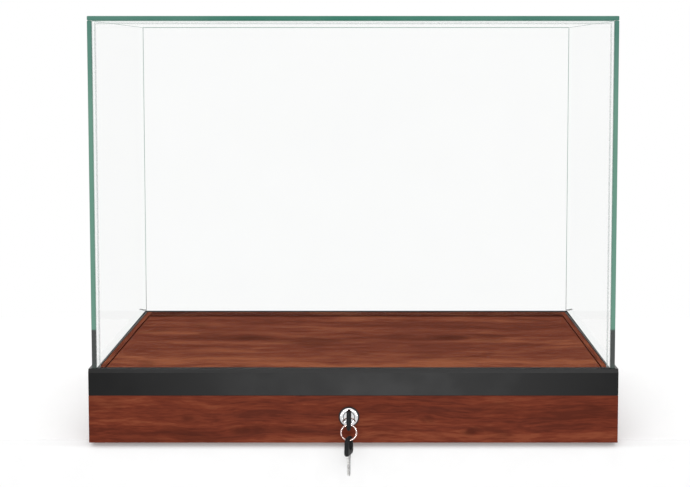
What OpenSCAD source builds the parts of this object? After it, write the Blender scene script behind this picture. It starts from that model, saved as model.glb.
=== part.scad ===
// Countertop display case: a glass hood in a black metal frame, hinged at the back of a wooden
// base, with a cam lock in the front board and two keys on a ring.
// The origin is the middle of the base's underside. X runs right, Y runs back, Z runs up.

/* [Overall] */
// Width of the case over the metal frame
case_w = 600; // [450:10:900]
// Depth of the case over the metal frame
case_d = 400; // [300:10:600]
// Height of the closed case
case_h = 482; // [300:1:700]

/* [Base] */
// Height of the wooden base below the hood
base_h = 54.3; // [50:0.1:90]
// Thickness of the base boards
board_t = 12; // [11:0.5:14]
// Thickness of the bottom panel
bottom_t = 9; // [6:0.5:12]
// Thickness of the ledge panel, which carries the deck
ledge_t = 9; // [6:0.5:12]
// Width of the square blocks in the base's corners
block_w = 22; // [18:1:30]

/* [Deck] */
// Thickness of the deck panel
deck_t = 15; // [9:0.5:18]
// Width of the deck's side rails below the panel's edges
side_rail_w = 9; // [8:0.5:15]
// Width of the rim that the side rails form beside the panel
side_rim_w = 6; // [5:0.5:7.5]
// Width of the deck's rear rail
rear_rail_w = 29; // [20:1:45]
// Thickness of the rail below the deck's front edge
front_rail_t = 12; // [9:0.5:18]
// Step from the deck's rim down to its panel
panel_drop = 1.2; // [0.5:0.1:3]
// Gap between the deck panel and the rim round it
panel_gap = 0.4; // [0.3:0.1:1.5]
// Width of the bearers below the deck panel
bearer_w = 18; // [14:1:30]
// Number of bearers below the deck panel
bearer_count = 3; // [2:1:5]
// Gap between the deck and the frame at the sides and the back
deck_gap = 0.8; // [0.5:0.1:1.5]
// Least gap between the deck's front and the frame as the hood swings
swing_gap = 0.85; // [0.5:0.05:1.5]
// Step from the frame's top down to the deck's rim
deck_drop = 0.3; // [0:0.1:2]

/* [Hood frame] */
// Height of the metal frame
frame_h = 30.5; // [26:0.5:36]
// Thickness of the frame's outer wall
outer_wall_t = 3.2; // [2.8:0.1:4]
// Thickness of the frame's inner wall
inner_wall_t = 1.2; // [1:0.1:2]
// Height of the seat for the glass above the frame's underside
seat_h = 12; // [11:0.5:15]
// Thickness of the floor and the seat of the frame's hollow
web_t = 1.6; // [1.2:0.1:2]
// Height of the bevel along the frame's front and rear top edges
bevel_h = 4.5; // [2:0.5:7]
// Depth of the bevel along the frame's front and rear top edges
bevel_d = 1.6; // [1:0.1:2.2]
// Length of a corner key's legs
corner_leg = 28; // [20:1:40]

/* [Glass] */
// Thickness of the panes
glass_t = 5; // [4:0.5:8]
// Thickness of the gasket between the glass and the frame
gasket_t = 0.5; // [0.4:0.1:1]
// Step from the frame's top down to the gasket
gasket_drop = 0.3; // [0:0.1:1]
// Thickness of the adhesive between panes
bond_t = 0.1; // [0.05:0.05:0.3]
// Width of the clear seal bead along the front pane
bead_w = 4; // [2:0.5:6]

/* [Hinges] */
// Distance from the middle of the case to each hinge
hinge_x = 200; // [120:5:210]
// Width of a hinge
hinge_w = 50; // [40:2:70]
// Height of the leaf on the base
base_leaf_h = 22; // [18:1:30]
// Height of the leaf on the frame
hood_leaf_h = 13; // [11:0.5:18]
// Thickness of the leaves
leaf_t = 1.5; // [1.2:0.1:2]
// Radius of the knuckles
knuckle_r = 2.8; // [2.5:0.1:3.4]
// Radius of the hinge pins
pin_r = 1.5; // [1.2:0.1:1.8]

/* [Lock] */
// Distance of the lock to the right of the middle
lock_x = -5; // [-60:1:60]
// Distance from the base's top edge down to the lock's axis
lock_drop = 24.3; // [22:0.1:26]
// Radius of the lock's face
lock_face_r = 11.7; // [10.5:0.1:13]
// Thickness of the lock's face
lock_face_t = 3; // [2:0.5:4]
// Radius of the lock's barrel
barrel_r = 9.3; // [8:0.1:10]
// Radius of the plug that the key turns
plug_r = 6; // [5.5:0.1:6.5]
// Width of the nut across its flats
nut_w = 23; // [21:0.5:24]
// Thickness of the nut
nut_t = 3.5; // [3:0.5:4]
// Thickness of the front board left in front of the lock's pocket
pocket_floor_t = 6; // [5:0.5:7]
// Thickness of the cam and the keeper
latch_t = 2; // [1.5:0.1:2.5]
// Width of the cam
cam_w = 8; // [6:0.5:10]
// Gap between the cam's end and the frame above it
cam_gap = 2; // [1:0.1:3]

/* [Keys] */
// Length of the blade inside the plug
blade_in = 20; // [14:0.5:22]
// Width of the blade
blade_w = 7; // [6:0.2:8]
// Thickness of the blade
blade_t = 2; // [1.6:0.1:2.4]
// Length of the collar between blade and head
collar_l = 4; // [3:0.5:8]
// Width of the collar between blade and head
collar_w = 10; // [8:0.5:12]
// Length of a key's head
head_l = 21; // [20:0.2:28]
// Width of a key's head
head_w = 22.5; // [20:0.5:26]
// Thickness of a key's head
head_t = 5; // [4.5:0.5:7]
// Depth of the bevel round a key's head
head_bevel = 1.2; // [0.6:0.1:1.6]
// Radius of the hole in a key's head
hole_r = 6.2; // [5:0.1:6.6]
// Least width of the rim round the hole in a key's head
rim_w = 2.4; // [2:0.1:4]
// Radius of the key ring, to the middle of its wire
ring_r = 8.7; // [8:0.1:12]
// Radius of the key ring's wire
wire_r = 0.9; // [0.7:0.1:1.2]
// Turn of the spare key about its length
spare_turn = -16; // [-20:1:20]

/* [Hidden] */

$fn = 48;
// Clearance round a screw, and between parts that are only laid together
fit = 0.05;
// Clearance between loose parts of the lock and the keys
loose = 0.3;
// Length by which a cut runs past the face that it opens
past = 1;

half_w = case_w / 2;
half_d = case_d / 2;
frame_top = base_h + frame_h;
slot_w = glass_t + 2 * gasket_t;
frame_t = outer_wall_t + slot_w + inner_wall_t;
glass_x = half_w - outer_wall_t - gasket_t;
glass_y = half_d - outer_wall_t - gasket_t;
glass_foot = base_h + seat_h + gasket_t;
pane_top = case_h - glass_t - bond_t;

hinge_y = half_d + knuckle_r + fit;
swing_r = hinge_y + half_d - frame_t;
deck_rise = frame_h - deck_drop;
deck_front_gap = swing_gap + swing_r - sqrt(pow(swing_r, 2) - pow(deck_rise, 2));
deck_x = half_w - frame_t - deck_gap;
deck_rear = half_d - frame_t - deck_gap;
deck_front = -half_d + frame_t + deck_front_gap;
deck_top = frame_top - deck_drop;
panel_top = deck_top - panel_drop;
deck_under = panel_top - deck_t;
rim_x = deck_x - side_rim_w;
panel_x = rim_x - panel_gap;
panel_rear = deck_rear - rear_rail_w - panel_gap;

inside_x = half_w - board_t;
inside_y = half_d - board_t;
block_top = base_h - ledge_t;

// Screws: head radius, shank radius and length
wood_screw = [4, 2, 24];
deck_screw = [3.5, 1.75, 20];
leaf_screw = [2.8, 1.4, 10];
frame_screw = [2.8, 1.4, 6];
knuckle_gap = 0.2;
knuckle_end = hinge_w / 4;

lock_z = base_h - lock_drop;
cam_r = lock_drop - cam_gap;
key_slot_end = lock_face_t - blade_in - loose;
plug_back = key_slot_end - 3;
cam_back = plug_back - latch_t;
tail_w = 6;
cam_pin_l = 4.5;
nut_corner_r = nut_w / sqrt(3);
keeper_t = 1.5;
keeper_back = half_d - frame_t + 0.2;
keeper_gap = 2.2;
keeper_w = 8;
keeper_x = lock_x + cam_r + keeper_gap;
flange_w = 24;
flange_d = 7.2;
hook_h = 5;
hook_top = lock_z - cam_w / 2 - 0.5;
hook_left = lock_x + nut_corner_r + keeper_gap;
flange_x = keeper_x + keeper_w / 2 - flange_w / 2;
finger_front = keeper_back + keeper_t + 0.9;

dome_r = hole_r + rim_w;
hole_h = collar_l + head_l - dome_r;
dome_x = head_w / 2 - dome_r;
foot_r = 4;
tang_l = 5;
wire_sag = ring_r - sqrt(pow(ring_r, 2) - pow(head_t / 2, 2));
hang = hole_r - wire_r - wire_sag - loose;
ring_y = -half_d - lock_face_t - hole_h;
ring_top_z = lock_z - hang;
ring_z = ring_top_z - ring_r;
spare_z = ring_z - ring_r - hang - hole_h;

// General shapes

module block(low, high) {
    translate(low) cube(high - low);
}

// A countersunk screw that points down, with the flat of its head at zero
module screw_solid(size, grow = 0) {
    head_h = size[0] - size[1];
    translate([0, 0, -head_h - grow])
        cylinder(h = head_h + grow, r1 = size[1] + grow, r2 = size[0] + grow);
    translate([0, 0, -size[2] - grow]) cylinder(h = size[2], r = size[1] + grow);
}

module screw(size) {
    recess_l = size[0] * 1.1;
    recess_w = size[0] * 0.22;
    difference() {
        screw_solid(size);
        for (turn = [0, 90])
            rotate(turn) translate([-recess_l / 2, -recess_w / 2, -recess_w * 2])
                cube([recess_l, recess_w, recess_w * 2 + past]);
    }
}

module screw_hole(size) {
    screw_solid(size, fit);
    cylinder(h = past, r = size[0] + fit);
}

module mirrored_x() {
    children();
    mirror([1, 0, 0]) children();
}

module at_corners() {
    mirrored_x() {
        children();
        mirror([0, 1, 0]) children();
    }
}

// Wooden base

// Where the lock, its nut, the cam and the keeper need room in the front board
module lock_pocket() {
    left = lock_x - nut_corner_r - keeper_gap;
    right = keeper_x + keeper_w + keeper_gap;
    low = lock_z - nut_corner_r - keeper_gap;
    block([left, -half_d + pocket_floor_t, low], [right, -inside_y + past, base_h + past]);
    block([flange_x - 0.5, -keeper_back - flange_d - 0.5, base_h - keeper_t - 0.5],
        [flange_x + flange_w + 0.5, -inside_y + past, base_h + past]);
}

module front_fascia() {
    color([0.46, 0.22, 0.15]) difference() {
        block([-half_w, -half_d, 0], [half_w, -inside_y, base_h]);
        lock_pocket();
        at_lock() translate([0, 0, -board_t - past])
            cylinder(h = board_t + 2 * past, r = barrel_r + fit);
    }
}

module rear_board() {
    color([0.44, 0.21, 0.14]) difference() {
        block([-half_w, inside_y, 0], [half_w, half_d, base_h]);
        base_leaf_screws() screw_hole(leaf_screw);
    }
}

module side_board() {
    block([-half_w, -inside_y, 0], [-inside_x, inside_y, base_h]);
}

module left_side_board() {
    color([0.44, 0.21, 0.14]) side_board();
}

module right_side_board() {
    color([0.44, 0.21, 0.14]) mirror([1, 0, 0]) side_board();
}

module bottom_screw_places() {
    at_corners() translate([inside_x - block_w / 2, inside_y - block_w / 2, 0])
        rotate([180, 0, 0]) children();
}

module bottom_panel() {
    color([0.36, 0.24, 0.18]) difference() {
        block([-inside_x, -inside_y, 0], [inside_x, inside_y, bottom_t]);
        bottom_screw_places() screw_hole(wood_screw);
    }
}

module corner_blocks() {
    color([0.72, 0.56, 0.38]) difference() {
        at_corners()
            block([inside_x - block_w, inside_y - block_w, bottom_t], [inside_x, inside_y, block_top]);
        bottom_screw_places() screw_hole(wood_screw);
    }
}

module bottom_screws() {
    color("silver") bottom_screw_places() screw(wood_screw);
}

module ledge_panel() {
    notch_side = cam_r + keeper_gap;
    notch_back = cam_back - 2 * keeper_gap;
    color([0.36, 0.24, 0.18]) difference() {
        block([-inside_x, -inside_y, block_top], [inside_x, inside_y, base_h]);
        block([lock_x - notch_side, -inside_y - past, block_top - past],
            [lock_x + notch_side, -half_d - notch_back, base_h + past]);
        deck_screw_places() screw_hole(deck_screw);
    }
}

// Deck

function bearer_x(i) = (i + 1) * 2 * panel_x / (bearer_count + 1) - panel_x;

module deck_screw_places() {
    screw_y = deck_rear - rear_rail_w - 3 * bearer_w;
    for (y = [-screw_y, screw_y]) {
        for (i = [0:bearer_count - 1])
            translate([bearer_x(i), y, block_top]) rotate([180, 0, 0]) children();
        mirrored_x() translate([deck_x - side_rail_w / 2, y, block_top])
            rotate([180, 0, 0]) children();
    }
}

module side_deck_rail() {
    difference() {
        block([-deck_x, deck_front, base_h], [-deck_x + side_rail_w, deck_rear, deck_top]);
        block([-rim_x, deck_front - past, deck_under],
            [-deck_x + side_rail_w + past, deck_rear + past, deck_top + past]);
        deck_screw_places() screw_hole(deck_screw);
    }
}

module left_deck_rail() {
    color([0.47, 0.24, 0.17]) side_deck_rail();
}

module right_deck_rail() {
    color([0.47, 0.24, 0.17]) mirror([1, 0, 0]) side_deck_rail();
}

module rear_deck_rail() {
    side = deck_x - side_rail_w;
    color([0.47, 0.24, 0.17]) {
        block([-side, deck_rear - rear_rail_w, base_h], [side, deck_rear, deck_top]);
        block([-rim_x, deck_rear - rear_rail_w, deck_under], [rim_x, deck_rear, deck_top]);
    }
}

module front_deck_rail() {
    side = deck_x - side_rail_w;
    color([0.47, 0.24, 0.17])
        block([-side, deck_front, base_h], [side, deck_front + front_rail_t, deck_under]);
}

module deck_bearers() {
    color([0.72, 0.56, 0.38]) difference() {
        for (i = [0:bearer_count - 1])
            block([bearer_x(i) - bearer_w / 2, deck_front + front_rail_t, base_h],
                [bearer_x(i) + bearer_w / 2, deck_rear - rear_rail_w, deck_under]);
        deck_screw_places() screw_hole(deck_screw);
    }
}

module deck_screws() {
    color("silver") deck_screw_places() screw(deck_screw);
}

module deck_panel() {
    color([0.49, 0.25, 0.18])
        block([-panel_x, deck_front, deck_under], [panel_x, panel_rear, panel_top]);
}

// Hood frame

// Section of the frame: x runs in from its outer face, y runs up from its underside
module frame_section(outer_edge) {
    inner = frame_t - inner_wall_t;
    difference() {
        polygon(concat([
            [0, 0], [frame_t, 0], [frame_t, frame_h], [inner, frame_h], [inner, seat_h],
            [outer_wall_t, seat_h], [outer_wall_t, frame_h]
        ], outer_edge));
        translate([outer_wall_t, web_t]) square([slot_w, seat_h - 2 * web_t]);
    }
}

module bevelled_section() {
    frame_section([[bevel_d, frame_h], [0, frame_h - bevel_h]]);
}

module square_section() {
    frame_section([[0, frame_h]]);
}

// What the bevels of the front and rear rails take off the ends of the side rails
module bevel_cuts() {
    for (turn = [0, 180])
        rotate(turn) translate([-half_w - past, -half_d, frame_top]) rotate([90, 0, 90])
            linear_extrude(case_w + 2 * past) polygon([
                [0, -bevel_h], [bevel_d, 0], [bevel_d, past], [-past, past], [-past, -bevel_h]
            ]);
}

module gasket_section() {
    height = frame_h - seat_h - gasket_drop;
    translate([outer_wall_t, seat_h]) difference() {
        square([slot_w, height]);
        translate([gasket_t, gasket_t]) square([glass_t, height]);
    }
}

// Runs a section along one side of the frame, with both ends cut at 45 degrees
module mitred(length) {
    intersection() {
        translate([-length / 2, 0, 0]) rotate([90, 0, 90]) linear_extrude(length) children();
        linear_extrude(frame_h) polygon([
            [-length / 2, 0], [length / 2, 0],
            [length / 2 - frame_t, frame_t], [-length / 2 + frame_t, frame_t]
        ]);
    }
}

module on_front() {
    translate([0, -half_d, base_h]) children();
}

module on_rear() {
    translate([0, half_d, base_h]) rotate(180) children();
}

module on_left() {
    translate([-half_w, 0, base_h]) rotate(-90) children();
}

module on_right() {
    translate([half_w, 0, base_h]) rotate(90) children();
}

module front_frame_rail() {
    color([0.14, 0.14, 0.14]) difference() {
        on_front() mitred(case_w) bevelled_section();
        keeper_screw_places() screw_hole(frame_screw);
    }
}

module rear_frame_rail() {
    color([0.14, 0.14, 0.14]) difference() {
        on_rear() mitred(case_w) bevelled_section();
        hood_leaf_screws() screw_hole(frame_screw);
    }
}

module left_frame_rail() {
    color([0.14, 0.14, 0.14]) difference() {
        on_left() mitred(case_d) square_section();
        bevel_cuts();
    }
}

module right_frame_rail() {
    color([0.14, 0.14, 0.14]) difference() {
        on_right() mitred(case_d) square_section();
        bevel_cuts();
    }
}

module frame_corner_keys() {
    near = [half_w - outer_wall_t - fit, half_d - outer_wall_t - fit];
    low = base_h + web_t + fit;
    high = base_h + seat_h - web_t - fit;
    width = slot_w - 2 * fit;
    color([0.6, 0.6, 0.62]) at_corners() {
        block([near[0] - corner_leg, near[1] - width, low], [near[0], near[1], high]);
        block([near[0] - width, near[1] - corner_leg, low], [near[0], near[1], high]);
    }
}

module glazing_gasket() {
    color([0.07, 0.07, 0.07]) {
        on_front() mitred(case_w) gasket_section();
        on_rear() mitred(case_w) gasket_section();
        on_left() mitred(case_d) gasket_section();
        on_right() mitred(case_d) gasket_section();
    }
}

// Glass hood

module cross_pane() {
    side = glass_x - glass_t - bond_t;
    block([-side, -glass_y, glass_foot], [side, -glass_y + glass_t, pane_top]);
}

module side_pane() {
    block([-glass_x, -glass_y, glass_foot], [-glass_x + glass_t, glass_y, pane_top]);
}

module front_glass() {
    color([0.85, 0.95, 0.92, 0.3]) cross_pane();
}

module rear_glass() {
    color([0.85, 0.95, 0.92, 0.3]) mirror([0, 1, 0]) cross_pane();
}

module left_glass() {
    color([0.85, 0.95, 0.92, 0.3]) side_pane();
}

module right_glass() {
    color([0.85, 0.95, 0.92, 0.3]) mirror([1, 0, 0]) side_pane();
}

module top_glass() {
    color([0.85, 0.95, 0.92, 0.3])
        block([-glass_x, -glass_y, case_h - glass_t], [glass_x, glass_y, case_h]);
}

module bead_section() {
    polygon([[0, 0], [bead_w, 0], [0, bead_w]]);
}

// A clear bead in the inner corners along the front pane's two sides and its top
module front_seal_bead() {
    corner = [-glass_x + glass_t, -glass_y + glass_t];
    color([0.9, 0.95, 0.93, 0.4]) {
        mirrored_x() translate([corner[0], corner[1], frame_top])
            linear_extrude(pane_top - frame_top) bead_section();
        translate([corner[0] + bead_w, corner[1], pane_top]) mirror([0, 0, 1])
            rotate([90, 0, 90]) linear_extrude(-2 * (corner[0] + bead_w)) bead_section();
    }
}

// Hinges

module at_hinges() {
    mirrored_x() translate([hinge_x, hinge_y, base_h]) children();
}

// Places of the screws in one leaf, whose middle is a height above the hinge's axis
module leaf_screws(height, per_row) {
    step = hinge_w / (per_row + 1);
    at_hinges() for (i = [1:per_row])
        translate([i * step - hinge_w / 2, half_d + leaf_t - hinge_y, height])
            rotate([-90, 0, 0]) children();
}

module base_leaf_screws() {
    leaf_screws(-(base_leaf_h + knuckle_r) / 2, 3) children();
}

module hood_leaf_screws() {
    leaf_screws(seat_h / 2 + knuckle_r / 4, 2) children();
}

// Half of a hinge: a leaf that runs down from the axis, and its knuckles
module leaf(height, spans) {
    plate_y = half_d - hinge_y;
    clear = knuckle_r + knuckle_gap;
    block([-hinge_w / 2, plate_y, -height], [hinge_w / 2, plate_y + leaf_t, -clear]);
    for (span = spans) {
        block([span[0], plate_y, -height], [span[1], plate_y + leaf_t, 0]);
        translate([span[0], 0, 0]) rotate([0, 90, 0])
            cylinder(h = span[1] - span[0], r = knuckle_r);
    }
}

module hinge_bore(clearance) {
    translate([-hinge_w / 2 - past, 0, 0]) rotate([0, 90, 0])
        cylinder(h = hinge_w + 2 * past, r = pin_r + clearance);
}

module hinge_base_leaves() {
    outer = hinge_w / 2;
    inner = outer - knuckle_end;
    color([0.7, 0.7, 0.72]) difference() {
        at_hinges() difference() {
            leaf(base_leaf_h, [[-outer, -inner], [inner, outer]]);
            hinge_bore(0.02);
        }
        base_leaf_screws() screw_hole(leaf_screw);
    }
}

module hinge_hood_leaves() {
    inner = hinge_w / 2 - knuckle_end - knuckle_gap;
    color([0.7, 0.7, 0.72]) difference() {
        at_hinges() difference() {
            mirror([0, 0, 1]) leaf(hood_leaf_h, [[-inner, inner]]);
            hinge_bore(fit);
        }
        hood_leaf_screws() screw_hole(frame_screw);
    }
}

module hinge_pins() {
    color([0.55, 0.55, 0.58]) at_hinges() translate([-hinge_w / 2, 0, 0])
        rotate([0, 90, 0]) cylinder(h = hinge_w, r = pin_r);
}

module hinge_base_screws() {
    color("silver") base_leaf_screws() screw(leaf_screw);
}

module hinge_hood_screws() {
    color("silver") hood_leaf_screws() screw(frame_screw);
}

// Lock. Its own z axis runs out of the front board towards the person who holds the key.

module at_lock() {
    translate([lock_x, -half_d, lock_z]) rotate([90, 0, 0]) children();
}

module lock_body() {
    round_r = lock_face_t * 0.8;
    bore_r = plug_r + fit;
    barrel_l = -plug_back - loose;
    color([0.85, 0.85, 0.87]) at_lock() rotate_extrude() polygon(concat(
        [[bore_r, -barrel_l], [barrel_r, -barrel_l], [barrel_r, 0], [lock_face_r, 0]],
        [for (a = [0:15:90])
            [lock_face_r - round_r * (1 - cos(a)), lock_face_t - round_r * (1 - sin(a))]],
        [[bore_r + 0.6, lock_face_t], [bore_r, lock_face_t - 0.6]]
    ));
}

module lock_nut() {
    color([0.6, 0.6, 0.62]) at_lock() translate([0, 0, -pocket_floor_t - nut_t]) difference() {
        rotate(30) cylinder(h = nut_t, r = nut_corner_r, $fn = 6);
        translate([0, 0, -past]) cylinder(h = nut_t + 2 * past, r = barrel_r + fit);
    }
}

module lock_plug() {
    slot = [blade_t + 2 * 0.2, blade_w + 2 * 0.2];
    color([0.8, 0.8, 0.82]) at_lock() difference() {
        union() {
            translate([0, 0, plug_back]) cylinder(h = lock_face_t - plug_back - 0.2, r = plug_r);
            translate([-tail_w / 2, -tail_w / 2, cam_back]) cube([tail_w, tail_w, latch_t + past]);
        }
        translate([-slot[0] / 2, -slot[1] / 2, key_slot_end])
            cube([slot[0], slot[1], lock_face_t - key_slot_end + past]);
        translate([0, 0, cam_back - past]) cylinder(h = cam_pin_l + past, r = 1.5 + fit);
    }
}

// The cam's arm points up when unlocked; its end is cranked forward to reach over the keeper
module lock_cam() {
    finger_l = 4.5;
    hub_r = 8;
    color([0.72, 0.72, 0.74]) at_lock() difference() {
        union() {
            translate([0, 0, cam_back]) cylinder(h = latch_t, r = hub_r);
            block([-cam_w / 2, 0, cam_back], [cam_w / 2, cam_r, plug_back]);
            block([-cam_w / 2, cam_r - finger_l, cam_back],
                [cam_w / 2, cam_r, finger_front - half_d]);
        }
        block([-tail_w / 2 - fit, -tail_w / 2 - fit, cam_back - past],
            [tail_w / 2 + fit, tail_w / 2 + fit, plug_back + past]);
    }
}

module cam_screw() {
    head_r = 4.6;
    head_h = 2;
    color("silver") at_lock() translate([0, 0, cam_back]) {
        difference() {
            translate([0, 0, -head_h]) cylinder(h = head_h, r = head_r);
            for (turn = [0, 90])
                rotate(turn) translate([-2.4, -0.45, -head_h - past]) cube([4.8, 0.9, past + 1.2]);
        }
        cylinder(h = cam_pin_l - 0.5, r = 1.5);
    }
}

module keeper_screw_places() {
    for (side = [-1, 1])
        translate([
            flange_x + flange_w / 2 + side * flange_w / 3,
            -keeper_back - flange_d / 2,
            base_h - keeper_t
        ]) rotate([180, 0, 0]) children();
}

// A hooked plate below the front of the frame: the cam comes down onto its hook
module lock_keeper() {
    front = -keeper_back - keeper_t;
    color([0.72, 0.72, 0.74]) difference() {
        union() {
            block([flange_x, -keeper_back - flange_d, base_h - keeper_t],
                [flange_x + flange_w, -keeper_back, base_h]);
            block([keeper_x, front, hook_top - hook_h], [keeper_x + keeper_w, -keeper_back, base_h]);
            block([hook_left, front, hook_top - hook_h], [keeper_x + keeper_w, -keeper_back, hook_top]);
        }
        keeper_screw_places() screw_hole(frame_screw);
    }
}

module keeper_screws() {
    color("silver") keeper_screw_places() screw(frame_screw);
}

// Keys. Each key's own z axis runs from its tip to its head, and zero is where the blade
// leaves the lock.

module key_metal() {
    tip = 2.2;
    notch = [0.9, 1.6, 1.2, 0.7, 1.4];
    step = (blade_in - 2 * tip) / len(notch);
    difference() {
        union() {
            rotate([90, 0, 90]) translate([0, 0, -blade_t / 2]) linear_extrude(blade_t) polygon([
                [-blade_w / 2, 0], [blade_w / 2, 0], [blade_w / 2, -blade_in + tip],
                [blade_w / 2 - tip, -blade_in], [-blade_w / 2 + tip, -blade_in],
                [-blade_w / 2, -blade_in + tip]
            ]);
            block([-blade_t / 2, -collar_w / 2, 0], [blade_t / 2, collar_w / 2, collar_l + tang_l]);
        }
        for (i = [0:len(notch) - 1], side = [-1, 1])
            translate([0, side * blade_w / 2, -tip - (i + 0.5) * step])
                rotate([45, 0, 0]) cube([blade_t + past, notch[i], notch[i]], center = true);
        for (side = [-1, 1])
            block([side * (blade_t / 2 + 0.3) - 0.7, -0.6, -blade_in - past],
                [side * (blade_t / 2 + 0.3) + 0.7, 0.6, collar_l / 2]);
    }
}

// Outline of a key's head, drawn in by a margin
module head_outline(margin) {
    hull() {
        for (side = [-1, 1]) {
            translate([side * dome_x, hole_h]) circle(r = dome_r - margin);
            translate([side * (head_w / 2 - foot_r), collar_l + foot_r]) circle(r = foot_r - margin);
        }
    }
}

module key_grip() {
    tang = collar_w / 2 + fit;
    difference() {
        rotate([90, 0, 90]) hull() {
            translate([0, 0, -head_t / 2]) linear_extrude(head_t) head_outline(head_bevel);
            translate([0, 0, head_bevel - head_t / 2])
                linear_extrude(head_t - 2 * head_bevel) head_outline(0);
        }
        translate([-head_t / 2 - past, 0, hole_h]) rotate([0, 90, 0])
            cylinder(h = head_t + 2 * past, r = hole_r);
        block([-blade_t / 2 - fit, -tang, collar_l - past],
            [blade_t / 2 + fit, tang, collar_l + tang_l + fit]);
    }
}

module at_key() {
    at_lock() translate([0, 0, lock_face_t]) children();
}

module at_spare_key() {
    translate([lock_x, ring_y, spare_z]) rotate(spare_turn) children();
}

module key_blade() {
    color([0.78, 0.77, 0.74]) at_key() key_metal();
}

module key_head() {
    color([0.1, 0.1, 0.1]) at_key() key_grip();
}

module key_ring() {
    color([0.82, 0.8, 0.78]) translate([lock_x, ring_y, ring_z]) rotate([90, 0, 0])
        rotate_extrude() translate([ring_r, 0]) circle(r = wire_r);
}

module spare_key_blade() {
    color([0.78, 0.77, 0.74]) at_spare_key() key_metal();
}

module spare_key_head() {
    color([0.1, 0.1, 0.1]) at_spare_key() key_grip();
}

front_fascia();
rear_board();
left_side_board();
right_side_board();
bottom_panel();
corner_blocks();
ledge_panel();
left_deck_rail();
right_deck_rail();
rear_deck_rail();
front_deck_rail();
deck_bearers();
deck_panel();
bottom_screws();
deck_screws();
hinge_base_leaves();
hinge_pins();
hinge_base_screws();
lock_body();
lock_nut();
front_glass();
rear_glass();
left_glass();
right_glass();
top_glass();
front_seal_bead();
front_frame_rail();
rear_frame_rail();
left_frame_rail();
right_frame_rail();
frame_corner_keys();
glazing_gasket();
hinge_hood_leaves();
hinge_hood_screws();
lock_keeper();
keeper_screws();
lock_plug();
lock_cam();
cam_screw();
key_blade();
key_head();
key_ring();
spare_key_blade();
spare_key_head();
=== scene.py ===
import math

import bmesh
import bpy
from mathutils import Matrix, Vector


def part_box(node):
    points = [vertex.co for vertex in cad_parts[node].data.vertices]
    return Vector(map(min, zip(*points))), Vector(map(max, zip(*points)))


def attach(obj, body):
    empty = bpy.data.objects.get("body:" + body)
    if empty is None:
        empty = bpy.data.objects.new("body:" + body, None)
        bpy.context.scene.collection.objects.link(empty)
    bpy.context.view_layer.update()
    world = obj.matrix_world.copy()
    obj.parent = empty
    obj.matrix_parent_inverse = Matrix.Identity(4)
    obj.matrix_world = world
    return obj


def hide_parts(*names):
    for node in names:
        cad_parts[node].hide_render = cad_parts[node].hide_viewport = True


# Looks for a countertop display case: a glass hood in a black metal band, hinged at the back of
# a cherry base, with a cam lock in the front board and two keys on a ring. Everything is in
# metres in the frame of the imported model: X right, Y back, Z up from the base's underside.

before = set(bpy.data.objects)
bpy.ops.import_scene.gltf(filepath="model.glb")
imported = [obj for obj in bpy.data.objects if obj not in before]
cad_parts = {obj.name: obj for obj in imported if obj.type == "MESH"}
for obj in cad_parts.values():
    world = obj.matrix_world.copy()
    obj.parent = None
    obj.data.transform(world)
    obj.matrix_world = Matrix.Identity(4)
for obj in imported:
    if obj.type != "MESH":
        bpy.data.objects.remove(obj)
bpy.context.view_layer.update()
MM = 0.001

# Sizes that the pieces share with the model's source. The upright panes reach to plus and minus
# GLASS_X and GLASS_Y and stand from GLASS_FOOT, inside the band, to PANE_TOP.
GLASS_X, GLASS_Y, GLASS_T = 296.3 * MM, 196.3 * MM, 5 * MM
GLASS_FOOT, PANE_TOP = 66.8 * MM, 476.9 * MM
BAND_TOP = 84.8 * MM
BEAD_W = 4 * MM
LOCK = Vector((-5 * MM, -200 * MM, 30 * MM))
LOCK_FACE_R, LOCK_FACE_T, PLUG_R = 11.7 * MM, 3 * MM, 6 * MM
HEAD_W, HEAD_L, HEAD_T, COLLAR_L = 22.5 * MM, 21 * MM, 5 * MM, 4 * MM
HOLE_R, RIM_W = 6.2 * MM, 2.4 * MM
BLADE_IN = 20 * MM
RING_R, WIRE_R = 8.7 * MM, 0.9 * MM
SPARE_TURN = math.radians(-16)

# Sizes of the scene alone: the lock's bright face on a black washer that stands in for painted shade round
# its rim, the height up to which the panes' edges carry a painted dark reflection of the band, the panes'
# ground arrises, and the angles at which edges count as sharp
CHROME_R, SHADE_WASHER_T = 10.6 * MM, 1.4 * MM
BAND_REFLECTION_TOP = 129 * MM
ARRIS = 0.7 * MM
EASE_ANGLE, SHARP_ANGLE = math.radians(35), math.radians(38)

# Camera, with its tilt below the level in degrees
CAMERA_PLACE = (0.0175, -1.9006, 0.4363)
CAMERA_TILT = 4.66
CAMERA_LENS = 79.53
CAMERA_SHIFT = (-0.0345, -0.09)

# Counter, whose front edge slopes down by EDGE_DROP and then bends to the front, and the light
COUNTER_FRONT, COUNTER_BACK = -0.1934, 0.62
COUNTER_H, COUNTER_HALF_W = 0.8, 3.0
EDGE_SLOPE, EDGE_DROP, EDGE_BEND = math.radians(40), 5.8 * MM, 6.1 * MM
TOP_GLOW, EDGE_GLOW = 0.25, 0.05
SKY_LIGHT = 0.8


# Short calls for building node materials

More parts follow.
